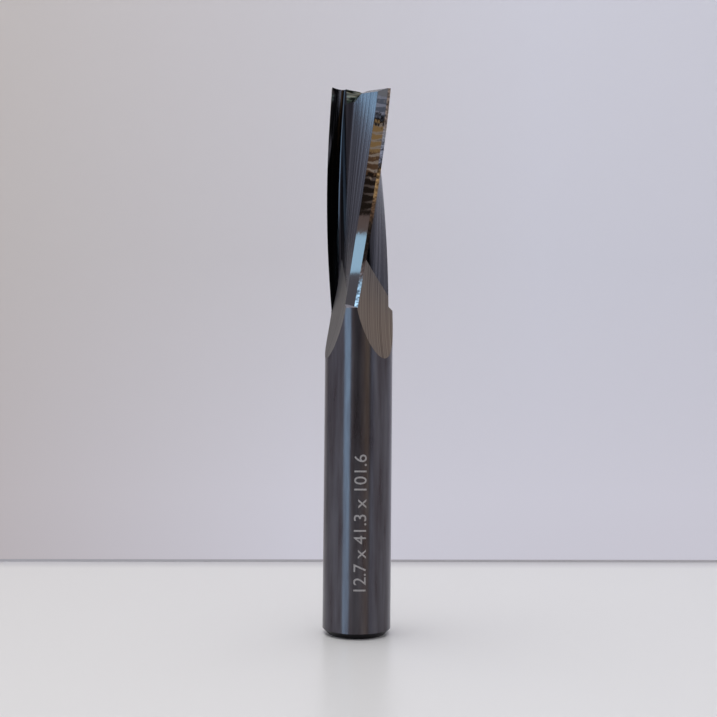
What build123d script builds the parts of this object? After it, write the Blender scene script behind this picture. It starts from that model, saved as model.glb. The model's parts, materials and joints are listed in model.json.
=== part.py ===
from build123d import *
import os
from math import acos, atan, cos, degrees, radians, sin, sqrt, tan

# A three-flute up-cut spiral router bit, ground from one solid tungsten carbide rod.
# The axis is Z: the shank end stands at Z = 0 and the cutting end is up.
# Angles round the axis run from +X towards +Y, which is also the way the bit turns.

# Driving dimensions, in millimetres and degrees
OVERALL_LENGTH = 101.6
SHANK_DIAMETER = 12.7
SHANK_CHAMFER = 1.1
CUT_LENGTH = 41.275
CUTTING_DIAMETER = 12.55
FLUTE_COUNT = 3
HELIX_ANGLE = 9.7
TIP_EDGE_ANGLE = -29.0

# The lands behind each cutting edge, and the shoulder where they stop
PRIMARY_WIDTH = 0.68
PRIMARY_RELIEF = 18.5
SECONDARY_RELIEF = 32.1
SHOULDER_SLOPE = 40.0

# The flutes
CORE_DIAMETER = 6.2
HOOK_ANGLE = 20.0
RAKE_HOLLOW = 5.0
GULLET_ANGLE = 32.7
GULLET_FILLET = 0.85
FLOOR_BULGE = 24.0

# The grinding wheel's imprint where each flute runs out
WHEEL_RADIUS = 62.0
WHEEL_DIP = 0.1
RUN_OUT_LENGTH = 9.1
RUN_OUT_OVERLAP = 0.7

# The cutting end
END_SKEW = 8.0
END_DISH = 2.5
END_PRIMARY_WIDTH = 0.75
END_PRIMARY_RELIEF = 9.0
END_SECONDARY_RELIEF = 27.5
CENTRE_WEB = 0.6
GASH_DEPTH = 0.4
GASH_WIDTH = 1.6
GASH_SLOPE = 35.0
GASH_FLOOR_SLOPE = 15.0
GASH_BACK_SLOPE = 39.0

# Sizes that follow from them
SHANK_RADIUS = SHANK_DIAMETER / 2
EDGE_RADIUS = CUTTING_DIAMETER / 2
CORE_RADIUS = CORE_DIAMETER / 2
STEP_LEVEL = OVERALL_LENGTH - CUT_LENGTH
RUN_OUT_LEVEL = STEP_LEVEL - RUN_OUT_LENGTH
TWIST = degrees(tan(radians(HELIX_ANGLE)) / EDGE_RADIUS)
PITCH_ANGLE = 360 / FLUTE_COUNT
WHEEL_LIFT = sqrt(2 * WHEEL_RADIUS * (SHANK_RADIUS - CORE_RADIUS + WHEEL_DIP))
CUTTER_RADIUS = 1.2 * max(SHANK_RADIUS, EDGE_RADIUS)


def polar(radius, angle):
    return Vector(radius * cos(radians(angle)), radius * sin(radians(angle)))


def edge_angle(level):
    """Angle round the axis of the first cutting edge at a level."""
    return TIP_EDGE_ANGLE - TWIST * (OVERALL_LENGTH - level)


def twisted(section, bottom, top):
    """Sweep a section, drawn with its cutting edge on +X, along the helix."""
    start = Pos(0, 0, bottom) * Rot(0, 0, edge_angle(bottom)) * section
    rise = Vector(0, 0, top - bottom)
    turn = edge_angle(top) - edge_angle(bottom)
    return Solid.extrude_linear_with_rotation(start, (0, 0, bottom), rise, turn)


def round_the_axis(cutter):
    return [Rot(0, 0, tooth * PITCH_ANGLE) * cutter for tooth in range(FLUTE_COUNT)]


def make_shank():
    """The round shank, chamfered below and with the ground shoulder at its top."""
    rise = tan(radians(SHOULDER_SLOPE))
    shoulder_top = STEP_LEVEL + SHANK_RADIUS * rise / 2
    profile = Polyline(
        (0, 0),
        (SHANK_RADIUS - SHANK_CHAMFER, 0),
        (SHANK_RADIUS, SHANK_CHAMFER),
        (SHANK_RADIUS, STEP_LEVEL),
        (SHANK_RADIUS / 2, shoulder_top),
        (0, shoulder_top),
        close=True,
    )
    return revolve(Plane.XZ * make_face(profile), Axis.Z)


def land_points():
    """A point just ahead of one cutting edge, the end of its primary land and one past its heel."""
    edge = Vector(EDGE_RADIUS, 0)
    primary = polar(PRIMARY_WIDTH, -90 - PRIMARY_RELIEF)
    secondary = polar(0.5 * EDGE_RADIUS, -90 - SECONDARY_RELIEF)
    return edge - 0.15 * primary, edge + primary, edge + primary + secondary


def make_relieved_head():
    """The cutting length with the lands of all teeth and no flutes yet."""
    outline = []
    for tooth in range(FLUTE_COUNT):
        outline += [point.rotate(Axis.Z, -tooth * PITCH_ANGLE) for point in land_points()]
    section = make_face(Polyline(*outline, close=True))
    return twisted(section.face(), STEP_LEVEL - 1, OVERALL_LENGTH)


def make_flute_section():
    """Section of one flute, its floor square to +X: hollow rake face, gullet, floor and back."""
    edge = polar(EDGE_RADIUS, -GULLET_ANGLE)
    at_edge = Pos(edge.X, edge.Y) * Rot(0, 0, HOOK_ANGLE - GULLET_ANGLE)
    behind_rake = Rectangle(4 * CUTTER_RADIUS, 2 * CUTTER_RADIUS, align=(Align.CENTER, Align.MAX))
    below_hollow = Rectangle(RAKE_HOLLOW, RAKE_HOLLOW, align=(Align.MAX, Align.MIN))
    below_hollow -= Pos(0, RAKE_HOLLOW) * Circle(RAKE_HOLLOW)
    section = Circle(CUTTER_RADIUS)
    section -= Pos(CORE_RADIUS - FLOOR_BULGE, 0) * Circle(FLOOR_BULGE)
    section -= at_edge * behind_rake
    section -= at_edge * below_hollow
    gullet = section.vertices().sort_by_distance((CORE_RADIUS, 0))[0]
    return fillet(gullet, GULLET_FILLET)


def run_out_angle():
    """Angle from a cutting edge to the wheel's direction, at the step.

    There the side of the imprint passes the overlap angle behind the edge, so that nothing of
    the shank is left standing ahead of it. The tilted wheel's side and its depth depend on each
    other, so they are settled in a few rounds.
    """
    tilt = radians(HELIX_ANGLE)
    angle = radians(GULLET_ANGLE)
    for _ in range(8):
        side = EDGE_RADIUS * sin(angle)
        along = (WHEEL_LIFT - RUN_OUT_LENGTH) * cos(tilt) + side * sin(tilt)
        floor = CORE_RADIUS - WHEEL_DIP + along**2 / (2 * WHEEL_RADIUS)
        angle = acos(floor / EDGE_RADIUS)
    return degrees(angle) - RUN_OUT_OVERLAP


def make_run_out():
    """What the wheel leaves standing where it lifts out of a flute, drawn with the wheel on +X."""
    reach = 4 * RUN_OUT_LENGTH + 4 * CUTTER_RADIUS
    lean = degrees(atan(radians(TWIST) * WHEEL_RADIUS + tan(radians(HELIX_ANGLE))))
    wheel = Rot(-90 - HELIX_ANGLE, 0, 0) * Cylinder(WHEEL_RADIUS, reach)
    wheel = Pos(CORE_RADIUS - WHEEL_DIP + WHEEL_RADIUS, 0, 0) * wheel
    below = Box(reach, reach, reach, align=(Align.CENTER, Align.CENTER, Align.MAX))
    standing = Rot(-lean, 0, 0) * below - wheel
    return Pos(0, 0, RUN_OUT_LEVEL + WHEEL_LIFT) * standing


def make_flute_cutter():
    """One flute: a twisted channel that ends on the wheel's own arc."""
    section = Rot(0, 0, GULLET_ANGLE) * make_flute_section()
    below_run_out = RUN_OUT_LEVEL - SHANK_RADIUS
    channel = twisted(section.face(), below_run_out, OVERALL_LENGTH + 1)
    return channel - Rot(0, 0, edge_angle(STEP_LEVEL) + run_out_angle()) * make_run_out()


def along_end_edge(profile, slope, inner, outer):
    """Extrude an upright profile (across, height) outwards along +X, rising or falling."""
    rise = tan(radians(slope))
    upright = Pos(inner, 0, inner * rise) * (Plane.YZ * profile)
    return extrude(upright, outer - inner, dir=(1, 0, rise))


def make_end_relief():
    """What is ground off an end edge: a primary face behind it and a steeper secondary one."""
    reach = CUTTER_RADIUS
    primary = Vector(-END_PRIMARY_WIDTH, 0)
    primary.Y = primary.X * tan(radians(END_PRIMARY_RELIEF))
    secondary = Vector(-reach, primary.Y - (reach + primary.X) * tan(radians(END_SECONDARY_RELIEF)))
    front = Vector(2 * END_PRIMARY_WIDTH, 2 * END_PRIMARY_WIDTH * tan(radians(END_PRIMARY_RELIEF)))
    profile = make_face(
        Polyline(front, primary, secondary, (-reach, reach), (front.X, reach), close=True)
    )
    from_axis = EDGE_RADIUS * cos(radians(END_SKEW))
    cutter = along_end_edge(profile, END_DISH, -from_axis, reach - from_axis)
    return Pos(EDGE_RADIUS, 0) * Rot(0, 0, END_SKEW) * cutter


def make_gash():
    """The notch in front of one end edge, deepest at the flute and shallow at the centre."""
    reach = CUTTER_RADIUS
    floor_end = Vector(GASH_WIDTH, -GASH_DEPTH - GASH_WIDTH * tan(radians(GASH_FLOOR_SLOPE)))
    back = Vector(reach, floor_end.Y + (reach - GASH_WIDTH) * tan(radians(GASH_BACK_SLOPE)))
    profile = make_face(
        Polyline((0, reach), (0, -GASH_DEPTH), floor_end, back, (reach, reach), close=True)
    )
    cutter = along_end_edge(profile, -GASH_SLOPE, -EDGE_RADIUS, reach)
    return Pos(0, CENTRE_WEB / 2) * cutter


def make_router_bit():
    bit = make_shank() + make_relieved_head()
    bit -= round_the_axis(make_flute_cutter())
    at_tip = Pos(0, 0, OVERALL_LENGTH) * Rot(0, 0, TIP_EDGE_ANGLE)
    bit -= round_the_axis(at_tip * make_end_relief())
    bit -= round_the_axis(at_tip * make_gash())
    return bit


os.makedirs("parts", exist_ok=True)
export_step(make_router_bit(), "parts/router_bit.step")
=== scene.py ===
# %% [markdown]
# # A spiral router bit, ground from one carbide rod
#
# The real bit is one rod of tungsten carbide. A grinding machine turns the rod round, sinks three
# helical flutes into it, relieves the lands behind each cutting edge and notches the end. Every
# wheel leaves its own finish, and those finishes are what the eye reads on bare metal.
# This lesson grinds the same bit out of mesh: a rod, and one cutting solid for each wheel.

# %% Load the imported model
import json
import math

import bmesh
import bpy
from mathutils import Matrix, Vector


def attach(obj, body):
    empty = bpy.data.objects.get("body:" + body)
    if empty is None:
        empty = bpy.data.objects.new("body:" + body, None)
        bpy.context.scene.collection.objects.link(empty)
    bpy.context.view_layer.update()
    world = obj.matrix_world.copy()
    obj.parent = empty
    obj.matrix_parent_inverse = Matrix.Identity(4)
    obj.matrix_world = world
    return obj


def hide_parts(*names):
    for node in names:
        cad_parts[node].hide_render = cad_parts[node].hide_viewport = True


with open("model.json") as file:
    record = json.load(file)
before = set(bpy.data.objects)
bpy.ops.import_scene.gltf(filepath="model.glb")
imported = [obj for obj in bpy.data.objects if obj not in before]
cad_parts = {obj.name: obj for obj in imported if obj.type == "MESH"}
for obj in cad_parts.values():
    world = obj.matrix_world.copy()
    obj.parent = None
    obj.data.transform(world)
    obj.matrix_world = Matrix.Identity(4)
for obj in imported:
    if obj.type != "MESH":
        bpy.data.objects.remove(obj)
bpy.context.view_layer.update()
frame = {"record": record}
MM = 0.001


def link(thing):
    """Put a new object into the scene."""
    bpy.context.scene.collection.objects.link(thing)
    return thing


# %% [markdown]
# ## The camera
# The view is an ordinary one, from 200 mm away and a little below the middle of the bit, so the
# verticals stay nearly parallel. The small roll is that of a hand-held camera.

# %% Camera
CAMERA_PLACE_MM = (-2.25, -200.2, 46.3)
LENS_MM = 53.47
CAMERA_RISE = 1.41
CAMERA_TURN = 0.63
CAMERA_ROLL = 0.51

camera_data = bpy.data.cameras.new("camera")
camera_data.lens = LENS_MM
camera = link(bpy.data.objects.new("camera", camera_data))
bpy.context.scene.camera = camera
camera.matrix_world = (
    Matrix.Translation(Vector(CAMERA_PLACE_MM) * MM)
    @ Matrix.Rotation(math.radians(-CAMERA_TURN), 4, "Z")
    @ Matrix.Rotation(math.radians(90 + CAMERA_RISE), 4, "X")
    @ Matrix.Rotation(math.radians(CAMERA_ROLL), 4, "Z")
)
print("camera at", CAMERA_PLACE_MM, "mm, lens", LENS_MM, "mm")

# %% [markdown]
# ## Sizes
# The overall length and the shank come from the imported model. The rest are the settings of the
# grinding machine: helix, hook, relief angles, wheel radius. All lengths are in millimetres and
# all angles in degrees, and the mesh is scaled to metres once, at the end.

# %% Sizes of the bit
OVERALL = frame["record"]["size"]["bbox_m"][2] / MM
SHANK_RADIUS = frame["record"]["mounts"][0]["dims"]["r_mm"]
SHANK_CHAMFER = 1.1
CUT_LENGTH = 41.275
EDGE_RADIUS = 6.275
CORE_RADIUS = 3.1
HELIX = 9.7
TIP_EDGE_ANGLE = -29.0
TEETH = 3

STEP_LEVEL = OVERALL - CUT_LENGTH
TWIST = math.degrees(math.tan(math.radians(HELIX)) / EDGE_RADIUS)
OUTSIDE = 1.2 * SHANK_RADIUS
print("overall", round(OVERALL, 2), "mm, twist", round(TWIST, 3), "degrees per mm")

# %% [markdown]
# ## Solids from rings
# Every cutter here is a row of rings with the same number of points, skinned with quads and closed
# by two end faces. That one helper makes turned rods, twisted channels and straight prisms.
# Each point of a ring names the finish of the strip that starts there.

# %% The finishes, one material each
FINISHES = [
    "shank", "shaded_chamfer", "flute", "gullet", "rake", "run_out", "primary_land", "secondary_land",
    "end_face", "gash", "etched",
]
finish_materials = {name: bpy.data.materials.new(name + "_ground_carbide") for name in FINISHES}


def give_finishes(mesh, names):
    """Put every finish on the mesh, and on each face the one that is named for it."""
    for finish in FINISHES:
        mesh.materials.append(finish_materials[finish])
    for face, name in zip(mesh.polygons, names):
        face.material_index = FINISHES.index(name)


print(len(FINISHES), "finishes")

# %% Points and rings
def polar(radius, angle):
    return Vector((radius * math.cos(math.radians(angle)), radius * math.sin(math.radians(angle))))


def turned(point, angle, level):
    """A flat point turned round the axis and lifted to a level."""
    return Matrix.Rotation(math.radians(angle), 3, "Z") @ Vector((point[0], point[1], level))


def divided(start, end, parts):
    return [start.lerp(end, i / parts) for i in range(parts)]


def skin(name, rings, finishes):
    """A closed solid through rings of points; finishes has one name for each strip round it."""
    count = len(rings[0])
    points = [point for ring in rings for point in ring]
    faces = [list(range(count))[::-1], [len(points) - count + i for i in range(count)]]
    strips = [finishes[0], finishes[0]]
    for low in range(0, len(points) - count, count):
        for i in range(count):
            j = (i + 1) % count
            faces.append([low + i, low + j, low + count + j, low + count + i])
            strips.append(finishes[i])
    mesh = bpy.data.meshes.new(name)
    mesh.from_pydata(points, [], faces)
    give_finishes(mesh, strips)
    work = bmesh.new()
    work.from_mesh(mesh)
    bmesh.ops.recalc_face_normals(work, faces=work.faces)
    work.to_mesh(mesh)
    work.free()
    return bpy.data.objects.new(name, mesh)


def edge_angle(level):
    """Where the first cutting edge stands at a level, in degrees round the axis."""
    return TIP_EDGE_ANGLE - TWIST * (OVERALL - level)


def twisted(name, outline, finishes, bottom, top, step=0.5):
    """Carry an outline, drawn with its cutting edge on +X, up the helix."""
    count = math.ceil((top - bottom) / step)
    levels = [bottom + (top - bottom) * i / count for i in range(count + 1)]
    rings = [[turned(point, edge_angle(z), z) for point in outline] for z in levels]
    return skin(name, rings, finishes)

# %% Joining and cutting
def combined(body, tool, operation):
    """The mesh of body with tool joined on or cut away. Each face keeps its own finish."""
    for piece in (body, tool):
        if piece.name not in bpy.context.scene.collection.objects:
            link(piece)
    cut = body.modifiers.new("grind", "BOOLEAN")
    cut.object = tool
    cut.operation = operation
    cut.solver = "EXACT"
    cut.material_mode = "TRANSFER"
    evaluated = body.evaluated_get(bpy.context.evaluated_depsgraph_get())
    mesh = bpy.data.meshes.new_from_object(evaluated)
    body.modifiers.clear()
    body.data = mesh
    bpy.data.objects.remove(tool)
    return body


def placed(piece, matrix):
    """A copy of a cutter with the matrix applied to its points."""
    copy = bpy.data.objects.new(piece.name, piece.data.copy())
    copy.data.transform(matrix)
    return copy


def cut_three(body, cutter):
    """Cut the same shape away once for each tooth."""
    for tooth in range(TEETH):
        turn = Matrix.Rotation(math.radians(tooth * 360 / TEETH), 4, "Z")
        body = combined(body, placed(cutter, turn), "DIFFERENCE")
    bpy.data.objects.remove(cutter)
    return body

# %% [markdown]
# ## The rod
# Centreless grinding leaves the shank round to a few thousandths of a millimetre. It is a turned
# shape, so rings round the axis are the natural way to make it: end face, chamfer, cylinder and
# the ground shoulder where the cutting length begins.

# %% The shank
SHOULDER_SLOPE = 40.0
SHOULDER_REACH = SHANK_RADIUS / 2
ROUND_STEPS = 192


def make_shank():
    """The rod up to the shoulder, whose slope ends inside the lands."""
    shoulder = SHOULDER_REACH * math.tan(math.radians(SHOULDER_SLOPE))
    profile = [
        (SHANK_RADIUS - SHANK_CHAMFER, 0.0),
        (SHANK_RADIUS, SHANK_CHAMFER),
        (SHANK_RADIUS, STEP_LEVEL),
        (SHANK_RADIUS - SHOULDER_REACH, STEP_LEVEL + shoulder),
    ]
    around = [360 * i / ROUND_STEPS for i in range(ROUND_STEPS)]
    rings = [[turned((radius, 0), angle, z) for angle in around] for radius, z in profile]
    rod = skin("shank", rings, ["shank"] * ROUND_STEPS)
    # The chamfer gets a dark finish of its own: painted shade, for the contact shadow that it
    # reflects.
    for face in rod.data.polygons:
        if face.center.z < SHANK_CHAMFER:
            face.material_index = FINISHES.index("shaded_chamfer")
    return rod


bit = make_shank()
print("rod:", len(bit.data.polygons), "faces")

# %% [markdown]
# ## The relieved head
# Behind each cutting edge the land falls away twice, so that only the edge touches the wood: a
# narrow primary land at 18.5 degrees, then a wide secondary land at 32.1 degrees to the heel.
# All three teeth are one outline, twisted up the helix. Its other sides lie inside the flutes, and
# each tooth starts a little in front of its edge, where the flute's rake face cuts it sharp.

# %% Lands
PRIMARY_WIDTH = 0.68
PRIMARY_RELIEF = 18.5
PRIMARY_STEPS = 4
SECONDARY_REACH = 0.5 * EDGE_RADIUS
SECONDARY_RELIEF = 32.1
SECONDARY_STEPS = 8
START_SHARE = 0.15
HEAD_SINK = 1.0


def make_head():
    outline, finishes = [], []
    edge = Vector((EDGE_RADIUS, 0))
    primary = polar(PRIMARY_WIDTH, -90 - PRIMARY_RELIEF)
    past_heel = edge + primary + polar(SECONDARY_REACH, -90 - SECONDARY_RELIEF)
    one_tooth = divided(edge - START_SHARE * primary, edge + primary, PRIMARY_STEPS)
    one_tooth += divided(edge + primary, past_heel, SECONDARY_STEPS) + [past_heel]
    one_finish = ["primary_land"] * PRIMARY_STEPS + ["secondary_land"] * SECONDARY_STEPS + ["flute"]
    for tooth in range(TEETH):
        outline += [turned(point, -tooth * 360 / TEETH, 0) for point in one_tooth]
        finishes += one_finish
    return twisted("head", outline, finishes, STEP_LEVEL - HEAD_SINK, OVERALL)


bit = combined(bit, make_head(), "UNION")
print("rod and lands:", len(bit.data.polygons), "faces")

# %% [markdown]
# ## The flutes
# One section makes the whole flute: the hooked rake face, a small gullet fillet, and the convex
# floor that runs out to the heel of the next tooth. It is drawn with its floor square to +X.
# The fillet and the foot of the floor have a darker finish of their own, which is painted shade for
# the dark that the gullet reflects.

# %% Section of a flute
HOOK = 20.0
RAKE_HOLLOW = 5.0
GULLET_ANGLE = 32.7
GULLET_FILLET = 0.85
FLOOR_BULGE = 24.0
RAKE_STEPS = 14
FILLET_STEPS = 12
FLOOR_STEPS = 28
SHADED_FOOT_STEPS = 6
MOUTH_STEPS = 8


def arc(centre, radius, start, end, parts):
    return [centre + polar(radius, start + (end - start) * i / parts) for i in range(parts)]


def heading(vector):
    return math.degrees(math.atan2(vector.y, vector.x))


def meeting(centre_a, radius_a, centre_b, radius_b):
    """The point at both distances, on the right of the way from centre a to centre b."""
    way = centre_b - centre_a
    apart = way.length
    along = (radius_a**2 - radius_b**2 + apart**2) / (2 * apart)
    aside = math.sqrt(radius_a**2 - along**2)
    return centre_a + way / apart * along + Vector((way.y, -way.x)) / apart * aside


def flute_points():
    """The flute's section: mouth, rake face, gullet fillet, floor and round the outside again."""
    axis = Vector((0, 0))
    edge = polar(EDGE_RADIUS, -GULLET_ANGLE)
    mouth = edge + polar(OUTSIDE - EDGE_RADIUS, HOOK - GULLET_ANGLE)
    rake_centre = edge + polar(RAKE_HOLLOW, HOOK - GULLET_ANGLE + 90)
    floor_centre = Vector((CORE_RADIUS - FLOOR_BULGE, 0))
    fillet_centre = meeting(
        floor_centre, FLOOR_BULGE + GULLET_FILLET, rake_centre, RAKE_HOLLOW - GULLET_FILLET
    )
    far = meeting(axis, OUTSIDE, floor_centre, FLOOR_BULGE)
    edge_at = heading(edge - rake_centre)
    foot_at = heading(fillet_centre - rake_centre)
    floor_start = heading(fillet_centre - floor_centre)
    floor_end = heading(far - floor_centre)
    points = [mouth]
    points += arc(rake_centre, RAKE_HOLLOW, edge_at, foot_at, RAKE_STEPS)
    points += arc(fillet_centre, GULLET_FILLET, foot_at, floor_start - 180, FILLET_STEPS)
    points += arc(floor_centre, FLOOR_BULGE, floor_start, floor_end, FLOOR_STEPS)
    points += arc(axis, OUTSIDE, heading(far), heading(mouth), MOUTH_STEPS)
    return [turned(point, GULLET_ANGLE, 0) for point in points]


flute_outline = flute_points()
# The fillet and the foot of the floor take the gullet finish, whose dark tone is painted shade.
flute_finishes = ["rake"] * (1 + RAKE_STEPS) + ["gullet"] * (FILLET_STEPS + SHADED_FOOT_STEPS)
flute_finishes += ["flute"] * (len(flute_outline) - len(flute_finishes))
print("flute section:", len(flute_outline), "points")

# %% [markdown]
# ## Where the wheel lifts out
# The flutes end on the arc of the big grinding wheel that sank them. The wheel is a cylinder,
# tilted by the helix angle, and what it can't reach stays standing. The channel stops below a
# slanted plane, so the last thing each flute shows is the imprint of the wheel itself.

# %% The wheel and where it stands
WHEEL_RADIUS = 62.0
WHEEL_STEPS = 720
WHEEL_DIP = 0.1
RUN_OUT_LENGTH = 9.1
RUN_OUT_OVERLAP = 0.7
SETTLING_ROUNDS = 8
WHEEL_LIFT = math.sqrt(2 * WHEEL_RADIUS * (SHANK_RADIUS - CORE_RADIUS + WHEEL_DIP))
WHEEL_LEVEL = STEP_LEVEL - RUN_OUT_LENGTH + WHEEL_LIFT


def wheel_direction():
    """Angle from a cutting edge to the wheel's direction at the step, where its side meets it.

    The wheel's side and the floor that it cuts depend on each other, so a few rounds settle both.
    """
    tilt = math.radians(HELIX)
    angle = math.radians(GULLET_ANGLE)
    for _ in range(SETTLING_ROUNDS):
        side = EDGE_RADIUS * math.sin(angle)
        along = (WHEEL_LIFT - RUN_OUT_LENGTH) * math.cos(tilt) + side * math.sin(tilt)
        floor = CORE_RADIUS - WHEEL_DIP + along**2 / (2 * WHEEL_RADIUS)
        angle = math.acos(floor / EDGE_RADIUS)
    return math.degrees(angle) - RUN_OUT_OVERLAP


WHEEL_ANGLE = edge_angle(STEP_LEVEL) + wheel_direction()
print("wheel centre at", round(WHEEL_LEVEL, 2), "mm,", round(WHEEL_ANGLE, 2), "degrees round")

# %% What the wheel leaves standing
STANDING_REACH = 4 * RUN_OUT_LENGTH + 4 * OUTSIDE


def make_wheel():
    """The wheel beside the bit, on +X, tilted by the helix angle."""
    around = [360 * i / WHEEL_STEPS for i in range(WHEEL_STEPS)]
    ends = (-STANDING_REACH, STANDING_REACH)
    rings = [[turned((WHEEL_RADIUS, 0), angle, z) for angle in around] for z in ends]
    wheel = skin("wheel", rings, ["run_out"] * WHEEL_STEPS)
    wheel.data.transform(Matrix.Rotation(math.radians(-90 - HELIX), 4, "X"))
    wheel.data.transform(Matrix.Translation((CORE_RADIUS - WHEEL_DIP + WHEEL_RADIUS, 0, 0)))
    return wheel


def make_standing():
    """A block with a slanted top that the wheel has cut into, turned to the first flute."""
    corners = [(-1, -1), (1, -1), (1, 1), (-1, 1)]
    half = STANDING_REACH / 2
    bottom_ring = [Vector((x * half, y * half, -STANDING_REACH)) for x, y in corners]
    top_ring = [point + Vector((0, 0, STANDING_REACH)) for point in bottom_ring]
    standing = skin("standing", [bottom_ring, top_ring], ["run_out"] * 4)
    rise = math.radians(TWIST) * WHEEL_RADIUS + math.tan(math.radians(HELIX))
    standing.data.transform(Matrix.Rotation(-math.atan(rise), 4, "X"))
    standing = combined(standing, make_wheel(), "DIFFERENCE")
    standing.data.transform(Matrix.Translation((0, 0, WHEEL_LEVEL)))
    standing.data.transform(Matrix.Rotation(math.radians(WHEEL_ANGLE), 4, "Z"))
    return standing

# %% Sink the three flutes
CHANNEL_BELOW = 16.0
CHANNEL_ABOVE = 1.0


def make_flute():
    bottom, top = STEP_LEVEL - CHANNEL_BELOW, OVERALL + CHANNEL_ABOVE
    channel = twisted("channel", flute_outline, flute_finishes, bottom, top)
    return combined(channel, make_standing(), "DIFFERENCE")


bit = cut_three(bit, make_flute())
print("flutes sunk:", len(bit.data.polygons), "faces")

# %% [markdown]
# ## The cutting end
# An up-cut bit plunges, so its end cuts too. Each end edge dips towards the centre, is relieved in
# two flats behind, and has a notch, the gash, ground in front of it. Flats are straight prisms.

# %% End relief and gashes
END_SKEW = 8.0
END_DISH = 2.5
END_PRIMARY_WIDTH = 0.75
END_PRIMARY_RELIEF = 9.0
END_SECONDARY_RELIEF = 27.5
CENTRE_WEB = 0.6
GASH_DEPTH = 0.4
GASH_WIDTH = 1.6
GASH_SLOPE = 35.0
GASH_FLOOR_SLOPE = 15.0
GASH_BACK_SLOPE = 39.0


def tangent(angle):
    return math.tan(math.radians(angle))


def prism(name, profile, finish, slope, inner, outer):
    """Carry an upright profile of (across, height) points outwards along +X."""
    rise = tangent(slope)
    rings = [[Vector((x, across, height + x * rise)) for across, height in profile]
             for x in (inner, outer)]
    return skin(name, rings, [finish] * len(profile))


def make_end_relief():
    back, front = -END_PRIMARY_WIDTH, 2 * END_PRIMARY_WIDTH
    drop = back * tangent(END_PRIMARY_RELIEF)
    far_drop = drop - (OUTSIDE + back) * tangent(END_SECONDARY_RELIEF)
    profile = [
        (front, front * tangent(END_PRIMARY_RELIEF)),
        (back, drop),
        (-OUTSIDE, far_drop),
        (-OUTSIDE, OUTSIDE),
        (front, OUTSIDE),
    ]
    from_axis = EDGE_RADIUS * math.cos(math.radians(END_SKEW))
    cutter = prism("end_relief", profile, "end_face", END_DISH, -from_axis, OUTSIDE - from_axis)
    cutter.data.transform(Matrix.Rotation(math.radians(END_SKEW), 4, "Z"))
    cutter.data.transform(Matrix.Translation((EDGE_RADIUS, 0, 0)))
    return cutter


def make_gash():
    floor_end = -GASH_DEPTH - GASH_WIDTH * tangent(GASH_FLOOR_SLOPE)
    back = floor_end + (OUTSIDE - GASH_WIDTH) * tangent(GASH_BACK_SLOPE)
    profile = [
        (0, OUTSIDE),
        (0, -GASH_DEPTH),
        (GASH_WIDTH, floor_end),
        (OUTSIDE, back),
        (OUTSIDE, OUTSIDE),
    ]
    cutter = prism("gash", profile, "gash", -GASH_SLOPE, -EDGE_RADIUS, OUTSIDE)
    cutter.data.transform(Matrix.Translation((0, CENTRE_WEB / 2, 0)))
    return cutter


at_tip = Matrix.Translation((0, 0, OVERALL)) @ Matrix.Rotation(math.radians(TIP_EDGE_ANGLE), 4, "Z")
for cutter in (make_gash(), make_end_relief()):
    cutter.data.transform(at_tip)
    bit = cut_three(bit, cutter)
print("end ground:", len(bit.data.polygons), "faces")

# %% [markdown]
# ## The etched size
# A laser marks the finished shank with its size: cutting diameter, cutting length and overall
# length in millimetres. It frosts the metal and takes off about a hundredth of a millimetre, so
# the figures are wrapped round the shank as thin solids and cut away like everything else.

# %% The figures as a flat mesh
MARK_TEXT = "12.7 x 41.3 x 101.6"
MARK_HEIGHT = 2.4
FIGURE_SHARE = 0.73
MARK_ROWS = 12


def flat_text():
    """The figures as a flat mesh, reading along +X. They fill 0.73 of the font's size."""
    curve = bpy.data.curves.new("words", "FONT")
    curve.body = MARK_TEXT
    curve.size = MARK_HEIGHT / FIGURE_SHARE
    curve.resolution_u = 4
    holder = link(bpy.data.objects.new("words", curve))
    evaluated = holder.evaluated_get(bpy.context.evaluated_depsgraph_get())
    mesh = bpy.data.meshes.new_from_object(evaluated)
    bpy.data.objects.remove(holder)
    return mesh


def flat_rows():
    """The figures cut into level rows, so that they can bend round the shank."""
    flat = bmesh.new()
    flat.from_mesh(flat_text())
    bmesh.ops.remove_doubles(flat, verts=flat.verts, dist=0.001)
    for row in range(1, MARK_ROWS):
        everything = flat.verts[:] + flat.edges[:] + flat.faces[:]
        cut_at = Vector((0, MARK_HEIGHT * row / MARK_ROWS - 0.01, 0))
        bmesh.ops.bisect_plane(flat, geom=everything, plane_co=cut_at, plane_no=(0, 1, 0))
    return flat

# %% Wrap and cut the figures
MARK_START = 8.2
MARK_ANGLE = -86.8
MARK_DEPTH = 0.012
MARK_CLEARANCE = 0.05


def make_marking():
    """The figures as a thin solid, from under the shank's surface to just above it."""
    figures = flat_rows()
    top = bmesh.ops.extrude_face_region(figures, geom=figures.faces[:])
    for point in [item for item in top["geom"] if isinstance(item, bmesh.types.BMVert)]:
        point.co.z = 1
    for point in figures.verts:
        radius = SHANK_RADIUS + (MARK_CLEARANCE if point.co.z > 0.5 else -MARK_DEPTH)
        angle = MARK_ANGLE + math.degrees((MARK_HEIGHT / 2 - point.co.y) / SHANK_RADIUS)
        point.co = turned((radius, 0), angle, MARK_START + point.co.x)
    bmesh.ops.recalc_face_normals(figures, faces=figures.faces)
    mesh = bpy.data.meshes.new("marking")
    figures.to_mesh(mesh)
    figures.free()
    give_finishes(mesh, ["etched"] * len(mesh.polygons))
    return bpy.data.objects.new("marking", mesh)


bit = combined(bit, make_marking(), "DIFFERENCE")
print("marked:", len(bit.data.polygons), "faces")

# %% [markdown]
# ## Smooth faces and crisp creases
# The mesh is a row of small flats, but a ground surface has no flats. Faces are shaded smooth, and
# an edge stays crisp where two wheels met or where the angle is steep. The shank is nearly a
# mirror, so its normals are set exactly: straight out from the axis.

# %% Shade, scale to metres and hang the bit on the frame
FLUTE_FINISHES = {FINISHES.index(name) for name in ("rake", "gullet", "flute")}
CRISP_ANGLE = math.radians(25)


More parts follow.
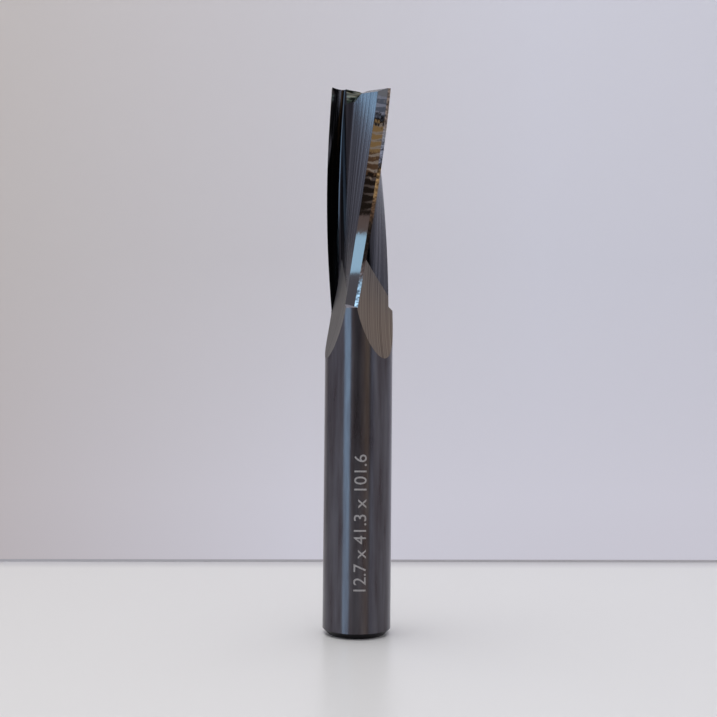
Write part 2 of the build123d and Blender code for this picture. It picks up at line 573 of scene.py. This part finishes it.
def is_crisp(edge):
    if len(edge.link_faces) != 2:
        return True
    pair = {face.material_index for face in edge.link_faces}
    met = len(pair) == 2 and not pair <= FLUTE_FINISHES
    return met or edge.calc_face_angle() > CRISP_ANGLE


def mark_creases(mesh):
    work = bmesh.new()
    work.from_mesh(mesh)
    for edge in work.edges:
        edge.smooth = not is_crisp(edge)
    for face in work.faces:
        face.smooth = True
    work.to_mesh(mesh)
    work.free()


def set_round_normals(mesh):
    """Exact normals on the cylinder and its marking, and the shaded ones everywhere else."""
    round_finishes = {FINISHES.index("shank"), FINISHES.index("etched")}
    normals = [corner.vector.copy() for corner in mesh.corner_normals]
    for face in mesh.polygons:
        if face.material_index in round_finishes and abs(face.normal.z) < 0.01:
            for corner in face.loop_indices:
                point = mesh.vertices[mesh.loops[corner].vertex_index].co
                normals[corner] = Vector((point.x, point.y, 0)).normalized()
    mesh.normals_split_custom_set(normals)


mark_creases(bit.data)
set_round_normals(bit.data)
bit.data.transform(Matrix.Scale(MM, 4))
bit.name = "ground_router_bit"
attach(bit, "root")
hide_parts("router_bit")
print("corners of", bit.name, [round(side / MM, 3) for side in bit.dimensions])

# %% [markdown]
# ## Ground tungsten carbide
# Cemented carbide is a grey metal, darker than steel and without its warmth. Diamond wheels leave
# fine parallel scratches in it, each zone in its own direction, and scratches spread a reflection
# across themselves. So every finish is one metal with its own roughness, scratch direction and
# scratch pattern. The patterns are set in millimetres.

# %% Colour and one node at a time
def from_hex(code):
    """An sRGB hex colour as linear RGBA."""
    parts = [int(code[i:i + 2], 16) / 255 for i in (1, 3, 5)]
    return tuple(p / 12.92 if p <= 0.04045 else ((p + 0.055) / 1.055) ** 2.4 for p in parts) + (1.0,)


def add(tree, kind, inputs=(), **settings):
    """A new node. Inputs are values or sockets by name or number; settings are its properties."""
    node = tree.nodes.new("ShaderNode" + kind)
    for name, value in settings.items():
        setattr(node, name, value)
    for key, value in dict(inputs).items():
        if isinstance(value, bpy.types.NodeSocket):
            tree.links.new(value, node.inputs[key])
        else:
            node.inputs[key].default_value = value
    return node

# %% Where a point is on the bit
def millimetres(tree):
    """The point on the bit in millimetres: x, y and z sockets."""
    place = add(tree, "TexCoord").outputs["Object"]
    scaled = add(tree, "VectorMath", {0: place, 3: 1 / MM}, operation="SCALE")
    split = add(tree, "SeparateXYZ", {0: scaled.outputs[0]})
    return split.outputs[0], split.outputs[1], split.outputs[2]


def unscrewed(tree):
    """The point with the helix taken out, so a line along a flute becomes a vertical line."""
    x, y, z = millimetres(tree)
    flat = add(tree, "CombineXYZ", {0: x, 1: y})
    per_mm, at_foot = math.radians(-TWIST), math.radians(TWIST * OVERALL - TIP_EDGE_ANGLE)
    turn = add(tree, "Math", {0: z, 1: per_mm, 2: at_foot}, operation="MULTIPLY_ADD")
    turned_back = add(tree, "VectorRotate", {"Vector": flat.outputs[0], "Angle": turn.outputs[0]},
                      rotation_type="Z_AXIS")
    split = add(tree, "SeparateXYZ", {0: turned_back.outputs[0]})
    return split.outputs[0], split.outputs[1], z


def across_wheel(tree):
    """Distance in millimetres from the middle of the wheel that cut the nearest flute."""
    x, y, z = millimetres(tree)
    tilt, half_pitch = math.radians(HELIX), math.pi / TEETH
    angle = add(tree, "Math", {0: y, 1: x}, operation="ARCTAN2")
    from_wheel = add(tree, "Math", {0: angle.outputs[0], 1: -math.radians(WHEEL_ANGLE)},
                     operation="ADD")
    folded = add(tree, "Math", {0: from_wheel.outputs[0], 1: -half_pitch, 2: half_pitch},
                 operation="WRAP")
    sine = add(tree, "Math", {0: folded.outputs[0]}, operation="SINE")
    flat = add(tree, "CombineXYZ", {0: x, 1: y})
    radius = add(tree, "VectorMath", {0: flat.outputs[0]}, operation="LENGTH")
    side = add(tree, "Math", {0: sine.outputs[0], 1: radius.outputs["Value"]}, operation="MULTIPLY")
    level = add(tree, "Math", {0: side.outputs[0], 1: math.cos(tilt)}, operation="MULTIPLY")
    aside = add(tree, "Math", {0: z, 1: -math.sin(tilt), 2: level.outputs[0]},
                operation="MULTIPLY_ADD")
    return aside.outputs[0]

# %% The metal, and how a pattern shows in it
CARBIDE = "#6c6c6e"
UP_THE_AXIS = 0.0
ROUND_THE_AXIS = 0.25
PATTERN_LOW = 0.3
PATTERN_HIGH = 0.7


def metal(finish, anisotropic, scratched):
    """The finish's tree and its metal shader, scratched up the axis or round it."""
    material = finish_materials[finish]
    material.use_nodes = True
    tree = material.node_tree
    shader = tree.nodes["Principled BSDF"]
    shader.inputs["Base Color"].default_value = from_hex(CARBIDE)
    shader.inputs["Metallic"].default_value = 1.0
    shader.inputs["Anisotropic"].default_value = anisotropic
    shader.inputs["Anisotropic Rotation"].default_value = scratched
    direction = add(tree, "Tangent", direction_type="RADIAL", axis="Z")
    tree.links.new(direction.outputs[0], shader.inputs["Tangent"])
    return tree, shader


def streaks(tree, point, across, along, detail=3.0):
    """Noise of streaks at a point of three sockets; across and along are their millimetres."""
    place = add(tree, "CombineXYZ", dict(enumerate(point)))
    per_mm = (1 / across, 1 / across, 1 / along)
    scaled = add(tree, "VectorMath", {0: place.outputs[0], 1: per_mm}, operation="MULTIPLY")
    noise = add(tree, "TexNoise", {"Vector": scaled.outputs[0], "Scale": 1.0, "Detail": detail})
    return noise.outputs["Fac"]


def vary_roughness(tree, shader, pattern, low, high):
    """Let the roughness follow the middle range of the pattern, from low to high."""
    spread = add(tree, "MapRange", {0: pattern, 1: PATTERN_LOW, 2: PATTERN_HIGH, 3: low, 4: high})
    tree.links.new(spread.outputs[0], shader.inputs["Roughness"])


def tone(tree, shader, pattern, dark, light):
    """Let the colour follow the pattern, from dark to light. In gullets and gashes it also carries
    painted shade and reflection.
    """
    spread = add(tree, "MapRange", {0: pattern, 1: PATTERN_LOW, 2: PATTERN_HIGH})
    mix = add(tree, "Mix", {0: spread.outputs[0], 6: from_hex(dark), 7: from_hex(light)},
              data_type="RGBA")
    tree.links.new(mix.outputs[2], shader.inputs["Base Color"])


def scratch(tree, shader, height, depth, base_normal=None):
    """Press the height pattern into the surface; depth is in millimetres."""
    bump = add(tree, "Bump", {"Strength": 1.0, "Distance": depth * MM, "Height": height})
    if base_normal is not None:
        tree.links.new(base_normal, bump.inputs["Normal"])
    tree.links.new(bump.outputs[0], shader.inputs["Normal"])
    return bump.outputs[0]

# %% Shank: centreless ground, scratches round the axis
tree, shader = metal("shank", 1.0, ROUND_THE_AXIS)
point = millimetres(tree)
bands = streaks(tree, point, across=1.4, along=14.0)
vary_roughness(tree, shader, bands, 0.27, 0.30)
tone(tree, shader, bands, "#504b50", "#68686f")
scratch(tree, shader, streaks(tree, point, across=4.0, along=0.25, detail=2.0), 0.0006)

# The chamfer's near-black colour is painted shade for the dark contact shadow under the rod.
tree, shader = metal("shaded_chamfer", 0.5, ROUND_THE_AXIS)
shader.inputs["Base Color"].default_value = from_hex("#2e2c2e")
shader.inputs["Roughness"].default_value = 0.35
scratch(tree, shader, streaks(tree, millimetres(tree), across=4.0, along=0.1), 0.002)
print("shank and chamfer finished")

# %% Flutes, gullets and rake faces: creep-feed ground along the helix
# Roughness, anisotropy, depth of the scratches in millimetres, and the darkest and lightest tone.
GROUND_ALONG = {
    "flute": (0.25, 0.55, 0.02, "#34363e", "#74767e"),
    # The gullet's dark tones are painted shade.
    "gullet": (0.08, 0.2, 0.005, "#2c2c30", "#48484e"),
    "rake": (0.09, 0.2, 0.008, "#444448", "#606064"),
}
ROUGHNESS_RANGE = 0.04
for finish, (rough, anisotropic, depth, dark, light) in GROUND_ALONG.items():
    tree, shader = metal(finish, anisotropic, UP_THE_AXIS)
    lines = streaks(tree, unscrewed(tree), across=0.18, along=60.0)
    vary_roughness(tree, shader, lines, rough - ROUGHNESS_RANGE, rough + ROUGHNESS_RANGE)
    tone(tree, shader, lines, dark, light)
    scratch(tree, shader, lines, depth)
print("ground along the helix:", ", ".join(GROUND_ALONG))

# %% Run-out: the wheel's own scratches, all in the plane of the wheel
tree, shader = metal("run_out", 0.7, UP_THE_AXIS)
aside = across_wheel(tree)
lines = streaks(tree, (aside, aside, millimetres(tree)[2]), across=0.3, along=60.0, detail=2.0)
vary_roughness(tree, shader, lines, 0.34, 0.42)
tone(tree, shader, lines, "#565250", "#989490")
scratch(tree, shader, lines, 0.006)
print("run-outs finished")

# %% Secondary lands: ground with the edge of a fine wheel, whose chatter fades towards the shank
CHATTER_PITCH = 1.45
CHATTER_WANDER = 1.2
CHATTER_DEPTH = 0.018
CHATTER_START = 72.0
CHATTER_FULL = 82.0


def chatter(tree, point):
    """The height of the chatter: a wave up the helix that wanders a little."""
    z = point[2]
    wander = streaks(tree, point, across=2.0, along=6.0)
    phase = add(tree, "Math", {0: wander, 1: CHATTER_WANDER, 2: z}, operation="MULTIPLY_ADD")
    turns = add(tree, "Math", {0: phase.outputs[0], 1: 2 * math.pi / CHATTER_PITCH},
                operation="MULTIPLY")
    wave = add(tree, "Math", {0: turns.outputs[0]}, operation="SINE")
    growth = add(tree, "MapRange", {0: z, 1: CHATTER_START, 2: CHATTER_FULL})
    height = add(tree, "Math", {0: wave.outputs[0], 1: growth.outputs[0]}, operation="MULTIPLY")
    return height.outputs[0]


tree, shader = metal("secondary_land", 0.3, ROUND_THE_AXIS)
point = unscrewed(tree)
shader.inputs["Roughness"].default_value = 0.10
lines = scratch(tree, shader, streaks(tree, point, across=3.0, along=0.2), 0.005)
scratch(tree, shader, chatter(tree, point), CHATTER_DEPTH, lines)
print("secondary lands: chatter every", CHATTER_PITCH, "mm above", CHATTER_START, "mm")

# %% Primary lands, end faces and gashes
tree, shader = metal("primary_land", 0.3, ROUND_THE_AXIS)
lines = streaks(tree, unscrewed(tree), across=0.8, along=0.35)
shader.inputs["Roughness"].default_value = 0.14
tone(tree, shader, lines, "#3a3a3e", "#9c9ca0")
scratch(tree, shader, lines, 0.02)

for finish, rough, dark, light in (
    ("end_face", 0.18, "#58585a", "#7c7c80"),
    # The gash's tones, from near black to pale green-grey, are painted dark and light reflection
    # bands.
    ("gash", 0.08, "#040a08", "#848e88"),
):
    tree, shader = metal(finish, 0.3, UP_THE_AXIS)
    lines = streaks(tree, millimetres(tree), across=2.5, along=0.4, detail=1.0)
    shader.inputs["Roughness"].default_value = rough
    tone(tree, shader, lines, dark, light)
    scratch(tree, shader, lines, 0.02)
print("primary lands and cutting end finished")

# %% Etched figures: laser-frosted carbide
tree, shader = metal("etched", 0.0, UP_THE_AXIS)
grain = streaks(tree, millimetres(tree), across=0.1, along=0.1, detail=1.0)
tone(tree, shader, grain, "#8f8c8c", "#b5b2b2")
shader.inputs["Metallic"].default_value = 0.3
shader.inputs["Roughness"].default_value = 0.65
print("figures frosted")

# %% [markdown]
# ## The studio
# Bare metal shows nothing but its surroundings, so the studio is half of the material. The bit
# stands on a pale table in front of a pale wall. Round them stands a tent of cards that only
# reflections see: a tall window to the left, a dim room with an amber glow in front, and pale
# walls with a dark shelf to the right.

# %% Panels
def flat_panel(name, corners, colour, roughness):
    mesh = bpy.data.meshes.new(name)
    mesh.from_pydata(corners, [], [(0, 1, 2, 3)])
    panel = link(bpy.data.objects.new(name, mesh))
    material = bpy.data.materials.new(name)
    material.use_nodes = True
    shader = material.node_tree.nodes["Principled BSDF"]
    shader.inputs["Base Color"].default_value = from_hex(colour)
    shader.inputs["Roughness"].default_value = roughness
    mesh.materials.append(material)
    return panel


def level_corners(left, right, front, back, height):
    return [(left, front, height), (right, front, height), (right, back, height), (left, back, height)]


def upright_corners(left, right, place, bottom, top):
    return [(left, place, bottom), (right, place, bottom), (right, place, top), (left, place, top)]

# %% Table and wall
# All in metres. The far table carries the near one on out of sight, and mirrors nothing.
TABLE_COLOUR = "#e4e3e0"
TABLE_HALF = 0.25
TABLE_FRONT = -0.16
TABLE_BACK = 0.0795
BACK_SLANT = 0.035
FAR_REACH = 1.5
FAR_LEVEL = -0.0002
EDGE_BOTTOM = -0.001
EDGE_TOP = 0.0006
WALL_PLACE = 0.25


def back_edge(x, height):
    """A point of the table's back edge, which runs a little aslant."""
    return (x, TABLE_BACK + BACK_SLANT * x, height)


def table_corners(half, front, height):
    front_edge = [(-half, front, height), (half, front, height)]
    return front_edge + [back_edge(half, height), back_edge(-half, height)]


table = flat_panel("table", table_corners(TABLE_HALF, TABLE_FRONT, 0), TABLE_COLOUR, 0.3)
far_corners = table_corners(FAR_REACH, -FAR_REACH, FAR_LEVEL)
far_table = flat_panel("far_table", far_corners, TABLE_COLOUR, 0.3)
far_table.visible_glossy = False
edge_bottom = [back_edge(-FAR_REACH, EDGE_BOTTOM), back_edge(FAR_REACH, EDGE_BOTTOM)]
edge_top = [back_edge(FAR_REACH, EDGE_TOP), back_edge(-FAR_REACH, EDGE_TOP)]
# A darker strip along the table's back edge: a painted shade line.
table_shade_line = flat_panel("table_shade_line", edge_bottom + edge_top, "#c8c6c8", 0.5)
wall_corners = upright_corners(left=-0.3, right=0.35, place=WALL_PLACE, bottom=-0.3, top=0.6)
wall = flat_panel("wall", wall_corners, "#d4d3dc", 0.8)
print("table's back edge", round(TABLE_BACK / MM, 1), "mm and wall", round(WALL_PLACE / MM), "mm away")

# %% The wall's wash of light: warmer to the left, lighter at its foot
def blend(tree, place, start, end, first, second):
    """A colour that runs from the first to the second as the place goes from start to end."""
    factor = add(tree, "MapRange", {0: place, 1: start, 2: end})
    colours = {0: factor.outputs[0], 6: first, 7: second}
    return add(tree, "Mix", colours, data_type="RGBA").outputs[2]


def metres(tree):
    split = add(tree, "SeparateXYZ", {0: add(tree, "TexCoord").outputs["Object"]})
    return split.outputs[0], split.outputs[1], split.outputs[2]


tree = wall.data.materials[0].node_tree
x, y, z = metres(tree)
upper = blend(tree, x, -0.15, 0.08, from_hex("#dbd4cf"), from_hex("#ebebf3"))
foot = blend(tree, x, -0.15, -0.02, from_hex("#e0d8d6"), from_hex("#f6f4fa"))
wash = blend(tree, z, 0.10, -0.02, upper, foot)
tree.links.new(wash, tree.nodes["Principled BSDF"].inputs["Base Color"])
print("wall washed")

# %% Painted shade: the table darkens towards its back edge
PAINTED_SHADE_BAND = 0.010
for panel in (table, far_table):
    tree = panel.data.materials[0].node_tree
    x, y, z = metres(tree)
    back = add(tree, "Math", {0: x, 1: -BACK_SLANT, 2: y}, operation="MULTIPLY_ADD").outputs[0]
    colours = from_hex(TABLE_COLOUR), from_hex("#c4c2c4")
    wash = blend(tree, back, TABLE_BACK - PAINTED_SHADE_BAND, TABLE_BACK, *colours)
    tree.links.new(wash, tree.nodes["Principled BSDF"].inputs["Base Color"])
print("table darkened over the last", PAINTED_SHADE_BAND / MM, "mm")

# %% The tent of cards
# Each card: from and to in degrees to the right of the camera's side, bottom and top in metres,
# colour and strength.
TENT_RADIUS = 0.9
CARD_STEP = 3
SKIRT_TOP = 0.14
MIDDLE_TOP = 0.42
TENT_TOP = 0.75
CARDS = {
    "far_left": (-180, -120, -0.9, TENT_TOP, "#8c8890", 1.0),
    "grey_left": (-120, -50.5, -0.9, MIDDLE_TOP, "#aca8b0", 1.0),
    "high_left": (-120, -50.5, MIDDLE_TOP, 0.95, "#ccccd8", 1.2),
    "window_low": (-50.5, -28, 0.03, 0.12, "#b4d4ec", 5.6),
    "window": (-50.5, -28, 0.12, TENT_TOP, "#acd2ea", 4.1),
    "curtain": (-28, -17, SKIRT_TOP, TENT_TOP, "#b8a098", 1.1),
    "dark_room": (-17, 8, SKIRT_TOP, MIDDLE_TOP, "#463a32", 1.0),
    "dark_high": (-17, 8, MIDDLE_TOP, 0.55, "#a08e84", 1.0),
    "amber_dim": (8, 21, SKIRT_TOP, 0.44, "#a88264", 1.0),
    "amber": (21, 38, SKIRT_TOP, 0.44, "#ecc084", 1.2),
    "amber_high": (8, 38, 0.44, 0.60, "#f4dec8", 1.2),
    "dark_top": (-17, 38, 0.60, 1.2, "#302824", 1.0),
    "post": (38, 43, SKIRT_TOP, TENT_TOP, "#1c1c20", 1.0),
    "blue_grey": (43, 54, SKIRT_TOP, 0.37, "#dce2f8", 1.3),
    "blue_high": (43, 54, 0.37, TENT_TOP, "#a8b2c8", 1.0),
    "pale_right": (54, 62, SKIRT_TOP, TENT_TOP, "#d6d8e0", 1.1),
    "low_right": (54, 180, -0.9, 0.06, "#c0bec8", 1.1),
    "shelf_right": (54, 180, 0.06, 0.17, "#1c1c1e", 1.0),
    "grey_right": (62, 180, 0.17, 0.32, "#c0bec8", 1.05),
    "warm_right": (62, 180, 0.32, 0.50, "#dcc4b2", 1.15),
    "high_right": (62, 180, 0.50, 0.95, "#a8a8b0", 1.0),
    "skirt_left": (-50.5, -28, -0.9, 0.03, "#141212", 1.0),
    "skirt": (-28, 54, -0.9, SKIRT_TOP, "#141212", 1.0),
}


def glow_card(name, corners, faces, colour, strength):
    """A glowing card that only reflections see."""
    mesh = bpy.data.meshes.new("card_" + name)
    mesh.from_pydata(corners, [], faces)
    card = link(bpy.data.objects.new("card_" + name, mesh))
    material = bpy.data.materials.new(card.name)
    material.use_nodes = True
    tree = material.node_tree
    glow = add(tree, "Emission", {"Color": from_hex(colour), "Strength": strength})
    tree.links.new(glow.outputs[0], tree.nodes["Material Output"].inputs["Surface"])
    mesh.materials.append(material)
    card.visible_camera = False
    card.visible_diffuse = False
    card.visible_shadow = False


def tent_card(name, start, end, bottom, top, colour, strength):
    """A card bent round the bit, in flats of about three degrees."""
    steps = max(2, int((end - start) / CARD_STEP))
    angles = [math.radians(start + (end - start) * i / steps) for i in range(steps + 1)]
    low = [Vector((TENT_RADIUS * math.sin(a), -TENT_RADIUS * math.cos(a), bottom)) for a in angles]
    high = [point + Vector((0, 0, top - bottom)) for point in low]
    faces = [(i, i + 1, steps + i + 2, steps + i + 1) for i in range(steps)]
    glow_card(name, low + high, faces, colour, strength)


for name, facts in CARDS.items():
    tent_card(name, *facts)
skylight_corners = level_corners(left=-0.25, right=0.25, front=0.05, back=0.45, height=0.95)
glow_card("skylight", skylight_corners, [(0, 1, 2, 3)], "#f0f4f8", 4.5)
print(len(CARDS) + 1, "cards round the bit")

# %% Daylight and one soft lamp
LAMP_PLACE = Vector((-0.15, 0.05, 1.0))
LAMP_AIM = Vector((0, 0, 0.05))

world = bpy.data.worlds.new("studio")
bpy.context.scene.world = world
world.use_nodes = True
background = world.node_tree.nodes["Background"]
background.inputs["Color"].default_value = from_hex("#e2e2ea")
background.inputs["Strength"].default_value = 0.75

lamp_data = bpy.data.lights.new("overhead", "AREA")
lamp_data.size = 0.9
lamp_data.energy = 5.5
lamp = link(bpy.data.objects.new("overhead", lamp_data))
lamp.location = LAMP_PLACE
lamp.rotation_mode = "QUATERNION"
lamp.rotation_quaternion = (LAMP_PLACE - LAMP_AIM).to_track_quat("Z", "Y")
print("lamp", lamp_data.energy, "W")

bpy.context.scene.view_settings.view_transform = "Standard"
